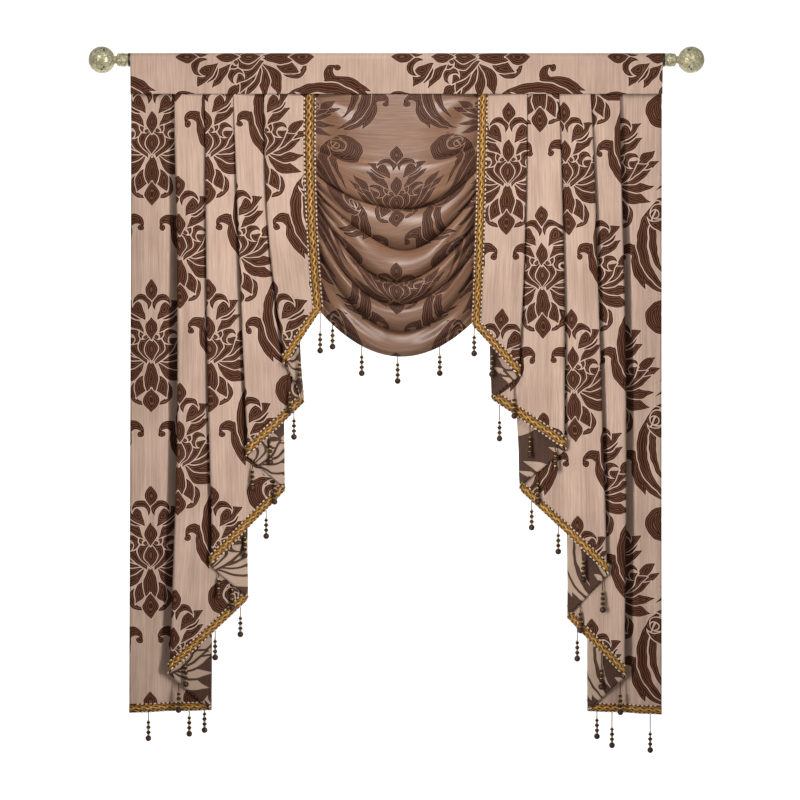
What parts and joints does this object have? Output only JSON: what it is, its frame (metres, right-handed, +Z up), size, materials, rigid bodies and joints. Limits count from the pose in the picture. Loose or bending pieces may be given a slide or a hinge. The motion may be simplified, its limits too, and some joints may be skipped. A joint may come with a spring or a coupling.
{
  "type": "waterfall valance on curtain rod",
  "caption": "Waterfall valance of damask cloth on a curtain rod: a sleeve heading, a cowl swag in the middle and long pleated tails with braid and bead drops.",
  "frame": {"origin": "middle of the curtain rod's axis", "axes": "+Z up, +X along the rod towards the right end as seen from the room, the cloth's face looks along -Y"},
  "size_m": [1.7386, 0.1214, 1.9956],
  "materials": {
    "rod_paint": "satin champagne paint",
    "finial_glitter": "crackled champagne glitter",
    "damask": "jacquard damask, brown figures on a tan ground",
    "damask_swag": "jacquard damask laid crosswise, with a satin sheen",
    "gold_braid": "woven gold braid with glossy bead drops",
    "bead_drops": "dark glossy beads with gold spacers on a narrow tape"
  },
  "bodies": {
    "root": {"rod": "rod_paint", "finial_left": "finial_glitter", "finial_right": "finial_glitter", "heading": "damask", "swag": "damask_swag", "tail_left": "damask", "tail_right": "damask", "trim_left": "gold_braid", "trim_right": "gold_braid", "drops_swag": "bead_drops"}
  },
  "joints": []
}
